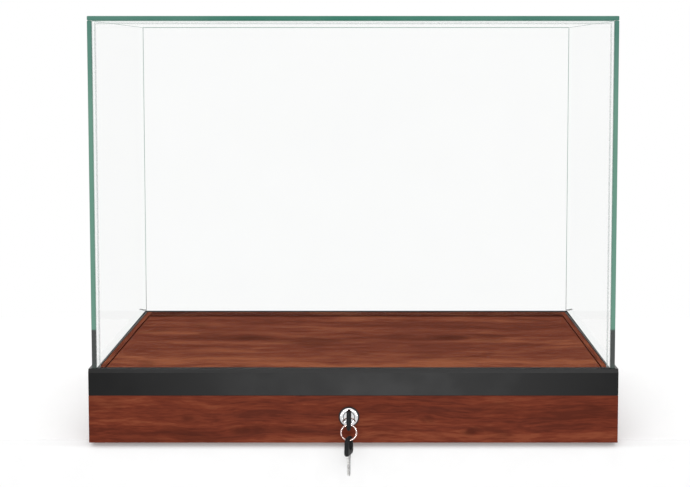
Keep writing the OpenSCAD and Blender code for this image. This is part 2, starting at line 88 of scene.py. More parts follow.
class Nodes:
    """The node tree of a new material, or of a new world."""

    def __init__(self, name, store=bpy.data.materials):
        self.owner = store.new(name)
        self.owner.use_nodes = True
        self.tree = self.owner.node_tree
        self.tree.nodes.clear()

    def add(self, kind, inputs=None, **settings):
        """A new node with its settings, and with sockets linked or values set on its inputs."""
        node = self.tree.nodes.new(kind)
        for key, value in settings.items():
            setattr(node, key, value)
        for key, value in (inputs or {}).items():
            if isinstance(value, bpy.types.NodeSocket):
                self.tree.links.new(value, node.inputs[key])
            else:
                node.inputs[key].default_value = value
        return node

    def place(self, scale=(1, 1, 1)):
        """The point in metres in the case's own frame, stretched."""
        here = self.add("ShaderNodeTexCoord").outputs["Object"]
        return self.add("ShaderNodeMapping", {"Vector": here, "Scale": scale}).outputs[0]

    def noise(self, vector, scale=1.0, detail=3.0, roughness=0.5, distortion=0.0):
        return self.add("ShaderNodeTexNoise", {
            "Vector": vector, "Scale": scale, "Detail": detail,
            "Roughness": roughness, "Distortion": distortion,
        }).outputs["Fac"]

    def facing(self, axis):
        """How far the surface faces along an axis of the piece, from 0 to 1, on either side."""
        normal = self.add("ShaderNodeTexCoord").outputs["Normal"]
        return self.math("ABSOLUTE", self.add("ShaderNodeSeparateXYZ", {0: normal}).outputs[axis])

    def ramp(self, value, *stops):
        """A colour for a value, from (position, colour) stops."""
        node = self.add("ShaderNodeValToRGB", {"Fac": value})
        steps = node.color_ramp.elements
        while len(steps) < len(stops):
            steps.new(0.5)
        for step, (position, colour) in zip(steps, stops):
            step.position = position
            step.color = (*colour, 1)
        return node.outputs["Color"]

    def span(self, value, low, high, start=0.0, end=1.0):
        """A value moved smoothly from the range low to high into the range start to end."""
        return self.add("ShaderNodeMapRange", {
            "Value": value, "From Min": low, "From Max": high, "To Min": start, "To Max": end,
        }, interpolation_type="SMOOTHSTEP").outputs["Result"]

    def math(self, operation, a, b=0.0):
        return self.add("ShaderNodeMath", {0: a, 1: b}, operation=operation).outputs[0]

    def vector(self, operation, a, b=(0.0, 0.0, 0.0)):
        key = 3 if operation == "SCALE" else 1
        node = self.add("ShaderNodeVectorMath", {0: a, key: b}, operation=operation)
        return node.outputs["Value" if operation == "LENGTH" else "Vector"]

    def cloud(self, vector, scale):
        """A soft random vector, each part between about -0.3 and 0.3."""
        noise = self.add("ShaderNodeTexNoise", {"Vector": vector, "Scale": scale, "Detail": 2.0})
        return self.vector("SUBTRACT", noise.outputs["Color"], (0.5, 0.5, 0.5))

    def mix(self, factor, a, b):
        """A blend of two colours, each of them a socket or three numbers."""
        a, b = (c if isinstance(c, bpy.types.NodeSocket) else (*c, 1) for c in (a, b))
        return self.add("ShaderNodeMix", {"Factor": factor, 6: a, 7: b}, data_type="RGBA").outputs[2]

    def bump(self, height, strength, distance):
        return self.add("ShaderNodeBump", {
            "Height": height, "Strength": strength, "Distance": distance,
        }).outputs["Normal"]

    def principled(self, inputs):
        return self.add("ShaderNodeBsdfPrincipled", inputs).outputs[0]

    def blend(self, share, one, two):
        """A mix of two shaders."""
        return self.add("ShaderNodeMixShader", {0: share, 1: one, 2: two}).outputs[0]

    def seen(self):
        """1 for what the eye sees, also mirrored or through glass, and 0 for light on surfaces."""
        path = self.add("ShaderNodeLightPath").outputs
        direct = self.math("MAXIMUM", path["Is Camera Ray"], path["Is Glossy Ray"])
        return self.math("MAXIMUM", direct, path["Is Transmission Ray"])

    def finish(self, shader, output="ShaderNodeOutputMaterial"):
        self.add(output, {"Surface": shader})
        return self.owner


# Materials

def wood(name, tones, along="X", across=1.0, sway=0.020, shift=(0, 0, 0), knots=(), strips=(),
         sheen=0.06):
    """Satin cherry veneer: wavy streaks along the board, which bend round smoky knots, and pores.

    The tones run from dark to pale. Across is how close the streaks lie, and sway how far they
    wander in metres. The shift picks another part of the figure. A knot is its place, its size
    and its depth of colour. A strip is (axis, middle, half width, change of tone).
    """
    n = Nodes(name)
    here = n.place()
    sample = n.vector("ADD", here, shift)
    dark = 0.0
    for place, size, depth in knots:
        offset = n.vector("SUBTRACT", here, place)
        scaled = n.vector("MULTIPLY", offset, tuple(1 / r for r in size))
        ragged = n.vector("ADD", scaled, n.vector("SCALE", n.cloud(here, 55.0), 1.1))
        near = n.span(n.vector("LENGTH", scaled), 1.6, 0.0)
        pull = n.vector("SCALE", n.vector("MULTIPLY", offset, (0, -0.75, -0.75)), near)
        sample = n.vector("ADD", sample, pull)
        core = n.span(n.vector("LENGTH", ragged), 1.0, 0.15, 0.0, depth)
        dark = n.math("MAXIMUM", core, dark)
    if along == "Y":
        sample = n.add("ShaderNodeVectorRotate", {"Vector": sample, "Angle": math.pi / 2},
                       rotation_type="Z_AXIS").outputs[0]
    drift = n.vector("MULTIPLY", n.cloud(sample, 8.0), (0, sway, sway))
    wavy = n.vector("ADD", sample, drift)

    def layer(length, width, detail, roughness, distortion=0.0):
        """Marks of a length and width in metres."""
        scale = (1 / length, across / width, across / width)
        return n.noise(n.vector("MULTIPLY", wavy, scale), 1.0, detail, roughness, distortion)

    streaks = layer(0.120, 0.0110, 4.0, 0.62, 0.3)
    bands = layer(0.380, 0.030, 2.0, 0.50, 0.5)
    smoke = layer(0.100, 0.030, 2.0, 0.45, 0.7)
    fibres = layer(0.024, 0.0024, 2.0, 0.65)
    tone = 0.0
    for part, weight in ((streaks, 0.38), (bands, 0.30), (fibres, 0.32)):
        tone = n.math("ADD", n.math("MULTIPLY", part, weight), tone)
    bent = n.add("ShaderNodeSeparateXYZ", {0: n.vector("ADD", here, drift)}).outputs
    for axis, middle, half_w, change in strips:
        off = n.math("ABSOLUTE", n.math("SUBTRACT", bent[axis], middle))
        tone = n.math("ADD", tone, n.span(off, half_w * 1.35, half_w * 0.65, 0.0, change))
    colour = n.ramp(tone, *zip((0.41, 0.47, 0.53, 0.60), tones))
    smoky = n.math("MULTIPLY", n.span(smoke, 0.55, 0.74), 0.50)
    colour = n.mix(n.math("MAXIMUM", smoky, dark), colour, tuple(0.62 * c for c in tones[0]))
    pores = n.span(fibres, 0.62, 0.72)
    colour = n.mix(n.math("MULTIPLY", pores, 0.30), colour, tuple(0.6 * c for c in tones[0]))
    height = n.math("SUBTRACT", n.math("MULTIPLY", streaks, 0.5), n.math("MULTIPLY", pores, 0.5))
    return n.finish(n.principled({
        "Base Color": colour, "Roughness": n.span(streaks, 0.3, 0.7, 0.44, 0.58),
        "Specular IOR Level": sheen, "Normal": n.bump(height, 0.25, 0.0002),
    }))


def raw_board(name, pale, dark, scale, roughness):
    """Unfinished board or block: soft mottling and fibres, matt."""
    n = Nodes(name)
    fibres = n.noise(n.place(scale), 1.0, 4.0, 0.6, 0.3)
    mottle = n.noise(n.place(), 60.0, 3.0)
    colour = n.ramp(n.math("ADD", n.math("MULTIPLY", fibres, 0.6), n.math("MULTIPLY", mottle, 0.4)),
                    (0.35, dark), (0.65, pale))
    return n.finish(n.principled({
        "Base Color": colour, "Roughness": roughness, "Specular IOR Level": 0.25,
        "Normal": n.bump(fibres, 0.3, 0.0004),
    }))


def powder_coat():
    """Satin black powder coat: a fine orange peel, uneven gloss, and a painted highlight on the bevels."""
    n = Nodes("black_metal_look")
    peel = n.noise(n.place(), 900.0, 2.0, 0.5)
    cloud = n.noise(n.place(), 22.0, 3.0, 0.55)
    colour = n.ramp(cloud, (0.35, (0.0032, 0.0032, 0.0034)), (0.7, (0.0052, 0.0052, 0.0054)))
    upward = n.facing("Z")
    # Painted highlight: faces tilted partly up or down, the band's bevels, get a paler colour, as if catching
    # light.
    bevel = n.math("MULTIPLY", n.span(upward, 0.15, 0.25), n.span(upward, 0.85, 0.55))
    thin = n.math("MULTIPLY", bevel, n.span(cloud, 0.2, 0.8, 0.75, 1.0))
    colour = n.mix(thin, colour, (0.021, 0.0205, 0.0205))
    return n.finish(n.principled({
        "Base Color": colour, "Roughness": n.span(cloud, 0.3, 0.7, 0.28, 0.33),
        "Specular IOR Level": 0.14, "Normal": n.bump(peel, 0.12, 0.0001),
    }))


def metal(name, colour, roughness, brushed=(1, 1, 1), grain=400.0, marks=0.12):
    """Bare or plated metal with a fine grain, faint smears and worn spots."""
    n = Nodes(name)
    fine = n.noise(n.place(brushed), grain, 3.0, 0.55)
    smear = n.noise(n.place(), 70.0, 3.0, 0.6, 0.4)
    dull = tuple(c * (1 - marks) for c in colour)
    low, high = roughness
    return n.finish(n.principled({
        "Base Color": n.ramp(smear, (0.35, dull), (0.6, colour)), "Metallic": 1.0,
        "Roughness": n.span(smear, 0.3, 0.7, high, low),
        "Normal": n.bump(fine, 0.08, 0.0001),
    }))


def key_metal():
    """Nickel-plated key: bright cut edges, and broad sides with milling marks, coloured dark partly as duller
    milled metal and partly as painted shade.
    """
    n = Nodes("key_steel_look")
    marks = n.noise(n.place((30, 30, 2)), 90.0, 3.0, 0.55)
    smear = n.noise(n.place(), 160.0, 3.0, 0.6, 0.4)
    edge = n.ramp(smear, (0.35, (0.50, 0.495, 0.49)), (0.65, (0.86, 0.85, 0.84)))
    side = n.ramp(smear, (0.35, (0.11, 0.11, 0.112)), (0.65, (0.27, 0.27, 0.27)))
    return n.finish(n.principled({
        # The broad sides, facing X, take the dark colour: partly duller milled metal, partly painted shade.
        "Base Color": n.mix(n.span(n.facing("X"), 0.55, 0.8), edge, side), "Metallic": 1.0,
        "Roughness": n.span(smear, 0.3, 0.7, 0.24, 0.14), "Normal": n.bump(marks, 0.08, 0.0001),
    }))


def moulded(name, colour, roughness, grain, sheen):
    """Moulded plastic or rubber with a fine skin."""
    n = Nodes(name)
    skin = n.noise(n.place(), grain, 2.0, 0.6)
    cloud = n.noise(n.place(), 120.0, 2.0)
    low, high = roughness
    return n.finish(n.principled({
        "Base Color": n.ramp(cloud, (0.3, tuple(0.7 * c for c in colour)), (0.7, colour)),
        "Roughness": n.span(cloud, 0.3, 0.7, low, high), "Specular IOR Level": sheen,
        "Normal": n.bump(skin, 0.15, 0.0001),
    }))


def clear_glass():
    """The broad faces of a pane: clear with a trace of green and a weak reflection."""
    n = Nodes("clear_glass_look")
    smudge = n.noise(n.place(), 14.0, 3.0, 0.6, 0.5)
    tint = n.ramp(smudge, (0.3, (0.988, 0.990, 0.989)), (0.7, (0.991, 0.993, 0.992)))
    clear = n.add("ShaderNodeBsdfTransparent", {"Color": tint}).outputs[0]
    gloss = n.add("ShaderNodeBsdfGlossy", {"Roughness": n.span(smudge, 0.3, 0.7, 0.0, 0.03)})
    share = n.math("MINIMUM", n.add("ShaderNodeFresnel", {"IOR": 1.10}).outputs[0], 0.03)
    return n.finish(n.blend(share, clear, gloss.outputs[0]))


def polished_edge():
    """The narrow faces of a pane: green depth, with a painted dark reflection of the black band near their
    foot.
    """
    n = Nodes("glass_edge_look")
    x, y, z = n.add("ShaderNodeSeparateXYZ", {0: n.place()}).outputs
    to_corner = n.math("MINIMUM", n.math("DIVIDE", n.math("ABSOLUTE", x), GLASS_X),
                       n.math("DIVIDE", n.math("ABSOLUTE", y), GLASS_Y))
    top = n.mix(n.span(to_corner, 0.1, 0.95), (0.018, 0.148, 0.098), (0.055, 0.170, 0.130))
    colour = n.mix(n.span(z, 0.47, 0.36), top, (0.104, 0.238, 0.178))
    cloud = n.noise(n.place((14, 14, 14)), 1.0, 2.0, 0.4)
    colour = n.mix(n.span(cloud, 0.3, 0.7, 0.0, 0.18), colour, (0.15, 0.29, 0.235))
    # Painted reflection: the edges turn dark grey below a set height, where the black band would show in the
    # glass.
    foot = n.span(z, BAND_REFLECTION_TOP + 1 * MM, BAND_REFLECTION_TOP - 1 * MM)
    foot = n.math("MULTIPLY", foot, n.span(z, GLASS_FOOT, BAND_TOP + 8 * MM, 0.5, 1.0))
    colour = n.mix(foot, colour, (0.046, 0.052, 0.050))
    polish = n.noise(n.place(), 1400.0, 2.0)
    solid = n.principled({
        "Base Color": colour, "Roughness": 0.16, "Specular IOR Level": 0.3,
        "Normal": n.bump(polish, 0.05, 0.0001),
    })
    inside = n.add("ShaderNodeBsdfTransparent", {"Color": (0.985, 0.995, 0.99, 1)}).outputs[0]
    behind = n.add("ShaderNodeNewGeometry").outputs["Backfacing"]
    return n.finish(n.blend(behind, solid, inside))


def inner_mirror():
    """The foot of a side pane seen from inside the case, where the glass mirrors the daylight."""
    n = Nodes("glass_foot_look")
    cloud = n.noise(n.place(), 30.0, 2.0)
    bright = n.add("ShaderNodeBsdfGlossy", {
        "Color": n.ramp(cloud, (0.3, (0.985, 0.99, 0.987)), (0.7, (1.0, 1.0, 1.0))), "Roughness": 0.08,
    }).outputs[0]
    clear = n.add("ShaderNodeBsdfTransparent").outputs[0]
    behind = n.add("ShaderNodeNewGeometry").outputs["Backfacing"]
    return n.finish(n.blend(behind, bright, clear))


def clear_seal(name, shade, cover):
    """Clear silicone, which hides a share of what lies behind it."""
    n = Nodes(name)
    cloud = n.noise(n.place(), 200.0, 2.0, 0.5)
    dull = tuple(0.9 * c for c in shade)
    solid = n.principled({
        "Base Color": n.ramp(cloud, (0.3, dull), (0.7, shade)), "Roughness": 0.25,
        "Normal": n.bump(cloud, 0.1, 0.0002),
    })
    clear = n.add("ShaderNodeBsdfTransparent").outputs[0]
    return n.finish(n.blend(n.span(cloud, 0.2, 0.8, cover * 0.85, cover), clear, solid))


# Colours of the veneer on the boards, the deck and the deck's rails, from dark to pale
BOARD_TONES = ((0.086, 0.0150, 0.0066), (0.117, 0.0212, 0.0096),
               (0.147, 0.0282, 0.0124), (0.200, 0.0480, 0.0215))
DECK_TONES = ((0.122, 0.0320, 0.0185), (0.162, 0.0430, 0.0250),
              (0.205, 0.0570, 0.0310), (0.290, 0.0930, 0.0445))
RIM_TONES = tuple(tuple(0.95 * c for c in tone) for tone in DECK_TONES)

# Knots as (place, size, depth of colour)
DECK_KNOTS = (
    ((-0.132, 0.000, 0.0833), (0.040, 0.026, 0.03), 0.75),
    ((-0.178, 0.030, 0.0833), (0.034, 0.020, 0.03), 0.35),
    ((0.120, 0.004, 0.0833), (0.040, 0.026, 0.03), 0.75),
    ((0.062, 0.018, 0.0833), (0.040, 0.020, 0.03), 0.35),
    ((0.215, -0.050, 0.0833), (0.030, 0.020, 0.03), 0.30),
)
BOARD_KNOTS = (
    ((-0.128, -0.2, 0.0135), (0.020, 0.03, 0.0075), 0.70),
    ((-0.188, -0.2, 0.0270), (0.016, 0.03, 0.0070), 0.45),
    ((0.135, -0.2, 0.0130), (0.020, 0.03, 0.0075), 0.70),
    ((0.083, -0.2, 0.0275), (0.016, 0.03, 0.0070), 0.45),
    ((0.030, -0.2, 0.0400), (0.014, 0.03, 0.0060), 0.35),
)

MATERIALS = {
    "deck": wood("deck_wood", DECK_TONES, across=0.55, sway=0.045, knots=DECK_KNOTS, sheen=0.0,
                 shift=(0.2, 0.1, 0.3),
                 strips=((1, -0.150, 0.040, 0.06), (1, 0.005, 0.020, -0.03), (1, 0.090, 0.030, -0.02))),
    "rear_rail": wood("rear_rail_wood", tuple((0.56 * r, 0.60 * g, 0.66 * b) for r, g, b in DECK_TONES),
                      across=0.55, sway=0.045, sheen=0.0, shift=(0.7, 0.5, 0.1)),
    "deck_rails": wood("deck_rail_wood", RIM_TONES, along="Y", sheen=0.0, shift=(0.4, 0.3, 0.9)),
    "fascia": wood("fascia_wood", BOARD_TONES, knots=BOARD_KNOTS, shift=(0.31, 0.2, 0.07),
                   strips=((2, 0.035, 0.008, -0.03), (2, 0.0155, 0.004, -0.035), (2, 0.005, 0.006, 0.02))),
    "rear": wood("rear_wood", BOARD_TONES, shift=(1.7, 0.6, 0.4)),
    "sides": wood("side_wood", BOARD_TONES, along="Y", shift=(0.1, 0.9, 0.23)),
    # Painted shade for the groove round the deck panel: very dark wood tones.
    "groove_painted_shade": wood("groove_painted_shade", ((0.014, 0.0020, 0.0010), (0.022, 0.0030, 0.0015),
                                    (0.030, 0.0045, 0.0025), (0.040, 0.0065, 0.0035)), sheen=0.0),
    "fibreboard": raw_board("fibreboard_look", (0.30, 0.17, 0.10), (0.20, 0.11, 0.065), (80, 80, 80), 0.85),
    "softwood": raw_board("softwood_look", (0.62, 0.42, 0.23), (0.46, 0.28, 0.14), (60, 9, 220), 0.7),
    "black_metal": powder_coat(),
    "rubber": moulded("rubber_look", (0.016, 0.016, 0.016), (0.55, 0.7), 900.0, 0.3),
    "plastic": moulded("plastic_look", (0.017, 0.018, 0.019), (0.42, 0.52), 1500.0, 0.08),
    "zinc": metal("zinc_look", (0.62, 0.62, 0.64), (0.28, 0.42)),
    "cast_zinc": metal("cast_zinc_look", (0.48, 0.48, 0.50), (0.45, 0.6), grain=900.0),
    "nickel": metal("nickel_look", (0.70, 0.68, 0.65), (0.22, 0.36), (1, 8, 8)),
    "chrome": metal("chrome_look", (0.78, 0.78, 0.79), (0.012, 0.024), marks=0.12),
    "key_steel": key_metal(),
    # The ring's pink tint is a painted reflection of the cherry wood round it.
    "ring_steel": metal("ring_steel_look", (0.70, 0.55, 0.51), (0.06, 0.10)),
    "glass": clear_glass(),
    "glass_edge": polished_edge(),
    "glass_foot": inner_mirror(),
    "bead": clear_seal("bead_look", (0.95, 0.97, 0.96), 0.07),
    # The lip's grey is painted shade: the dark line along the bead's edge.
    "bead_lip_shade": clear_seal("bead_lip_look", (0.36, 0.40, 0.39), 0.55),
}

# Material and edge rounding in millimetres of each CAD node that keeps its own shape
KEPT_NODES = {
    "front_fascia": ("fascia", 0.5), "rear_board": ("rear", 0.5),
    "left_side_board": ("sides", 0.5), "right_side_board": ("sides", 0.5),
    "bottom_panel": ("fibreboard", 0.3), "ledge_panel": ("fibreboard", 0.3),
    "corner_blocks": ("softwood", 0.4), "deck_bearers": ("softwood", 0.4),
    "left_deck_rail": ("deck_rails", 0.15), "right_deck_rail": ("deck_rails", 0.15),
    "rear_deck_rail": ("rear_rail", 0.15), "front_deck_rail": ("deck", 0.35),
    "deck_panel": ("deck", 0.2),
    "front_frame_rail": ("black_metal", 0.35), "rear_frame_rail": ("black_metal", 0.35),
    "left_frame_rail": ("black_metal", 0.35), "right_frame_rail": ("black_metal", 0.35),
    "frame_corner_keys": ("cast_zinc", 0.3), "glazing_gasket": ("rubber", 0.1),
    "hinge_base_leaves": ("nickel", 0.15), "hinge_hood_leaves": ("nickel", 0.15),
    "hinge_pins": ("zinc", 0.2), "hinge_base_screws": ("zinc", 0.08),
    "hinge_hood_screws": ("zinc", 0.08), "bottom_screws": ("zinc", 0.1),
    "deck_screws": ("zinc", 0.1), "lock_nut": ("zinc", 0.25), "lock_plug": ("chrome", 0.15),
    "lock_cam": ("nickel", 0.2), "cam_screw": ("zinc", 0.12), "lock_keeper": ("nickel", 0.2),
    "keeper_screws": ("zinc", 0.08), "key_blade": ("key_steel", 0.12),
    "spare_key_blade": ("key_steel", 0.12),
}


def dress_kept_nodes():
    """Gives each kept node its material, joins its doubled points and eases its edges."""
    for name, (look, edge) in KEPT_NODES.items():
        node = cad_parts[name]
        for place in node.material_slots:
            place.material = MATERIALS[look]
        weld = node.modifiers.new("weld", "WELD")
        weld.merge_threshold = 1e-6
        bevel = node.modifiers.new("eased_edges", "BEVEL")
        bevel.width = edge * MM
        bevel.segments = 2
        bevel.limit_method = "ANGLE"
        bevel.angle_limit = EASE_ANGLE


# Pieces

def loft(work, rings, capped=True):
    """Joins each ring of points to the next and closes the ends, or joins the last to the first.

    Gives each side face with the number of its edge in the ring.
    """
    count = len(rings[0])
    sides = []
    for one, two in zip(rings, rings[1:] + ([] if capped else rings[:1])):
        for i in range(count):
            j = (i + 1) % count
            sides.append((i, work.faces.new((one[i], one[j], two[j], two[i]))))
    if capped:
        work.faces.new(rings[0])
        work.faces.new(rings[-1][::-1])
    return sides


def new_piece(name, mesh_work, looks, body, nodes=(), smooth=False, turn_out=True):
    """Makes a mesh object from a bmesh with its looks, ties it to its body and hides the CAD nodes that it
    stands for.
    """
    mesh = bpy.data.meshes.new(name)
    if turn_out:
        bmesh.ops.recalc_face_normals(mesh_work, faces=mesh_work.faces)
    mesh_work.to_mesh(mesh)
    mesh_work.free()
    for look in looks:
        mesh.materials.append(MATERIALS[look])
    for face in mesh.polygons:
        face.use_smooth = smooth
    piece = bpy.data.objects.new(name, mesh)
    bpy.context.scene.collection.objects.link(piece)
    if smooth:
        mesh.set_sharp_from_angle(angle=SHARP_ANGLE)
    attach(piece, body)
    if nodes:
        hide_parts(*nodes)
    return piece


def glass_pane(name, node, thin_axis):
    """A pane with clear broad faces, and polished edges with ground arrises."""
    low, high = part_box(node)
    work = bmesh.new()
    corners = [work.verts.new((x, y, z)) for x in (low.x, high.x) for y in (low.y, high.y)
               for z in (low.z, high.z)]
    for face in ((0, 1, 3, 2), (4, 6, 7, 5), (0, 4, 5, 1), (2, 3, 7, 6), (0, 2, 6, 4), (1, 5, 7, 3)):
        work.faces.new([corners[i] for i in face])
    bmesh.ops.bevel(work, geom=work.edges[:], offset=ARRIS, segments=1, affect="EDGES")
    bmesh.ops.recalc_face_normals(work, faces=work.faces)
    for face in work.faces:
        face.material_index = 0 if abs(face.normal[thin_axis]) > 0.99 else 1
    return new_piece(name, work, ("glass", "glass_edge"), "hood", (node,))


def pane_foot(side):
    """A slanted facet in a side pane's foot, bright from inside the case and clear from outside."""
    work = bmesh.new()
    inner, outer = side * (GLASS_X - GLASS_T + 0.1 * MM), side * (GLASS_X - 0.1 * MM)
    rows = [(inner, BAND_TOP - 0.3 * MM), ((inner + outer) / 2, BAND_TOP + 2.3 * MM),
            (outer, BAND_TOP + 5.2 * MM)]
    ends = ((-GLASS_Y + 1 * MM, 0), (GLASS_Y - 0.3 * MM, 2.5 * MM))
    verts = [[work.verts.new((x, y, z + rise)) for x, z in rows] for y, rise in ends]
    for i in range(2):
        face = [verts[0][i], verts[0][i + 1], verts[1][i + 1], verts[1][i]]
        work.faces.new(face if side > 0 else face[::-1])
    name = "left_pane_foot" if side < 0 else "right_pane_foot"
    return new_piece(name, work, ("glass_foot",), "hood", turn_out=False)


def seal_bead():
    """A clear fillet in the corners round the front pane, with a lip along its inner edge that carries a grey
    painted shade line.
    """
    work = bmesh.new()
    lip = 2.0 * MM
    # Section: (distance in from the side pane, distance back from the front pane)
    curve = [(0, 0), (BEAD_W, 0), (BEAD_W, 0.35 * MM), (BEAD_W - lip, 0.8 * MM)]
    curve += [(BEAD_W * 0.45, BEAD_W * 0.38), (0.5 * MM, BEAD_W * 0.72), (0, BEAD_W)]
    x0, y0 = GLASS_X - GLASS_T, -GLASS_Y + GLASS_T

    def section(point):
        return [work.verts.new(point(a, b)) for a, b in curve]

    rings = [
        section(lambda a, b: (-x0 + a, y0 + b, BAND_TOP)),
        section(lambda a, b: (-x0 + a, y0 + b, PANE_TOP - a)),
        section(lambda a, b: (x0 - a, y0 + b, PANE_TOP - a)),
        section(lambda a, b: (x0 - a, y0 + b, BAND_TOP)),
    ]
    for edge, face in loft(work, rings):
        face.material_index = 1 if edge in (1, 2) else 0
    return new_piece("seal_bead", work, ("bead", "bead_lip_shade"), "hood",
                     ("front_seal_bead",))


def revolved(profile, steps=96):
    """A closed surface turned from (radius, distance out) points round the lock's axis."""
    work = bmesh.new()
    rings = []
    for i in range(steps):
        a = 2 * math.pi * i / steps
        rings.append([
            work.verts.new(LOCK + Vector((r * math.cos(a), -out, r * math.sin(a)))) for r, out in profile
        ])
    loft(work, rings, capped=False)
    return work


def arc(centre, radius, start, end, count):
    """Points on an arc, angles in degrees."""
    return [(centre[0] + radius * math.cos(math.radians(start + (end - start) * i / count)),
             centre[1] + radius * math.sin(math.radians(start + (end - start) * i / count)))
            for i in range(count + 1)]


def lock_cylinder():
    """The lock's domed face and barrel, with a bright chamfer round the plug."""
    barrel_l, barrel_r = 20 * MM, 9.3 * MM
    bore = PLUG_R + 0.05 * MM
    rim = 1.6 * MM
    dome = arc((CHROME_R - rim, LOCK_FACE_T - rim), rim, 0, 84, 12)
    profile = [(bore, -barrel_l), (barrel_r, -barrel_l), (barrel_r, SHADE_WASHER_T), (CHROME_R, SHADE_WASHER_T)] + dome
    profile += [(CHROME_R - rim - 0.2 * MM, LOCK_FACE_T), (PLUG_R + 0.95 * MM, LOCK_FACE_T),
                (PLUG_R + 0.75 * MM, LOCK_FACE_T), (PLUG_R + 0.35 * MM, LOCK_FACE_T - 0.1 * MM),
                (bore, LOCK_FACE_T - 0.6 * MM)]
    return new_piece("lock_cylinder", revolved(profile), ("chrome",), "base",
                     ("lock_body",), smooth=True)


def lock_shade_washer():
    """Painted shade: a black washer between the lock's face and the front board, standing in for the dark rim
    round the lock's face.
    """
    inner, outer, ease = 9.4 * MM, LOCK_FACE_R, 0.5 * MM
    profile = [(inner, 0), (outer, 0)] + arc((outer - ease, SHADE_WASHER_T - ease), ease, 0, 90, 4)
    profile.append((inner, SHADE_WASHER_T))
    return new_piece("lock_shade_washer", revolved(profile), ("rubber",), "base", smooth=True)


def hull(points):
    """The convex hull of flat points, in order round it."""
    points = sorted(set(points))

    def half(row):
        out = []
        for p in row:
            while len(out) > 1 and ((out[-1][0] - out[-2][0]) * (p[1] - out[-2][1])
                                    - (out[-1][1] - out[-2][1]) * (p[0] - out[-2][0])) <= 0:
                out.pop()
            out.append(p)
        return out[:-1]

    return half(points) + half(points[::-1])


def head_reach(centre, steps):
    """How far a key head reaches from the hole's middle, in evenly spaced directions."""
    dome_r, foot_r = HOLE_R + RIM_W, 4 * MM
    spots = []
    for side in (-1, 1):
        spots += arc((side * (HEAD_W / 2 - dome_r), centre), dome_r, 0, 360, 120)
        spots += arc((side * (HEAD_W / 2 - foot_r), COLLAR_L + foot_r), foot_r, 0, 360, 60)
    edge = hull(spots)
    reach = []
    for i in range(steps):
        a = 2 * math.pi * i / steps
        dx, dy = math.cos(a), math.sin(a)
        best = 0
        for (x1, y1), (x2, y2) in zip(edge, edge[1:] + edge[:1]):
            ex, ey = x2 - x1, y2 - y1
            cross = dx * ey - dy * ex
            if abs(cross) < 1e-15:
                continue
            t = (x1 * ey - (y1 - centre) * ex) / cross
            u = (x1 * dy - (y1 - centre) * dx) / cross
            if t > 0 and -1e-9 <= u <= 1 + 1e-9:
                best = max(best, t)
        reach.append((dx, dy, best))
    return reach


def key_head(name, node, body, zero, along, turn):
    """A moulded key head that thins toward its rim. Along is the way from its collar to its top."""
    work = bmesh.new()
    steps, half_t = 96, HEAD_T / 2
    middle = COLLAR_L + HEAD_L - HOLE_R - RIM_W
    rim_taper, end_taper, taper_t = 1.6 * MM, 1.8 * MM, 2.0 * MM
    hole_round = 0.8 * MM
    bends = [math.radians(15 * i) for i in range(7)]
    loops, hole = [], []
    for a in bends:
        across, deep = 1 - math.sin(a), 1 - math.cos(a)
        points = []
        for dx, dy, reach in head_reach(middle, steps):
            r = reach - across * (rim_taper + end_taper * dx * dx)
            points.append((r * dx, middle + r * dy))
        loops.append((points, half_t - taper_t * deep))
        r = HOLE_R + hole_round * across
        ring = [(r * math.cos(2 * math.pi * i / steps), middle + r * math.sin(2 * math.pi * i / steps))
                for i in range(steps)]
        hole.append((ring, half_t - hole_round * deep))
    loops += [(points, -depth) for points, depth in reversed(loops)]
    loops += [(points, -depth) for points, depth in hole] + list(reversed(hole))
    side = Vector((math.cos(turn), math.sin(turn), 0))
    up = Vector(along)
    wide = side.cross(up)
    rings = [[work.verts.new(zero + wide * p[0] + up * p[1] + side * depth) for p in points]
             for points, depth in loops]
    loft(work, rings, capped=False)
    return new_piece(name, work, ("plastic",), body, (node,), smooth=True)


def key_ring():
    """A wire ring with a butt joint, whose ends are rounded."""
    work = bmesh.new()
    low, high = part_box("key_ring")
    middle = (low + high) / 2
    steps, sides = 180, 20
    joint, half_gap = math.radians(214), math.radians(2.2)
    rings = []
    for i in range(steps + 1):
        share = i / steps
        a = joint + half_gap + math.radians(355.6) * share
        from_end = min(share, 1 - share) * steps
        thin = WIRE_R * (0.72 if from_end < 1 else 0.94 if from_end < 2 else 1)
        out, side = Vector((math.cos(a), 0, math.sin(a))), Vector((0, 1, 0))
        rings.append([
            work.verts.new(middle + out * (RING_R + thin * math.cos(b)) + side * (thin * math.sin(b)))
            for b in (2 * math.pi * k / sides for k in range(sides))
        ])
    loft(work, rings)
    return new_piece("wire_ring", work, ("ring_steel",), "ring", ("key_ring",),
                     smooth=True)


def groove_shade_lining():
    """Painted shade: a dark sheet on the rim's inner faces, which drop to the deck panel, standing in for the
    shade down in the groove.
    """
    work = bmesh.new()
    panel_lo, panel_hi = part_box("deck_panel")
    rear_lo, rear_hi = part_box("rear_deck_rail")
    top, foot = rear_hi.z - 0.15 * MM, panel_hi.z - 3 * MM
    sunk, skin = 0.02 * MM, 0.12 * MM
    front = panel_lo.y + 0.5 * MM
    rings = []
    for side, y in ((-1, front), (-1, rear_lo.y), (1, rear_lo.y), (1, front)):
        back = 0 if y == front else 1
        outer = (side * (rear_hi.x + sunk), y + back * sunk)
        inner = (side * (rear_hi.x - skin), y - back * skin)
        rings.append([work.verts.new((*spot, z)) for spot, z in
                      ((outer, foot), (outer, top), (inner, top), (inner, foot))])
    loft(work, rings)
    return new_piece("groove_shade_lining", work, ("groove_painted_shade",), "base")


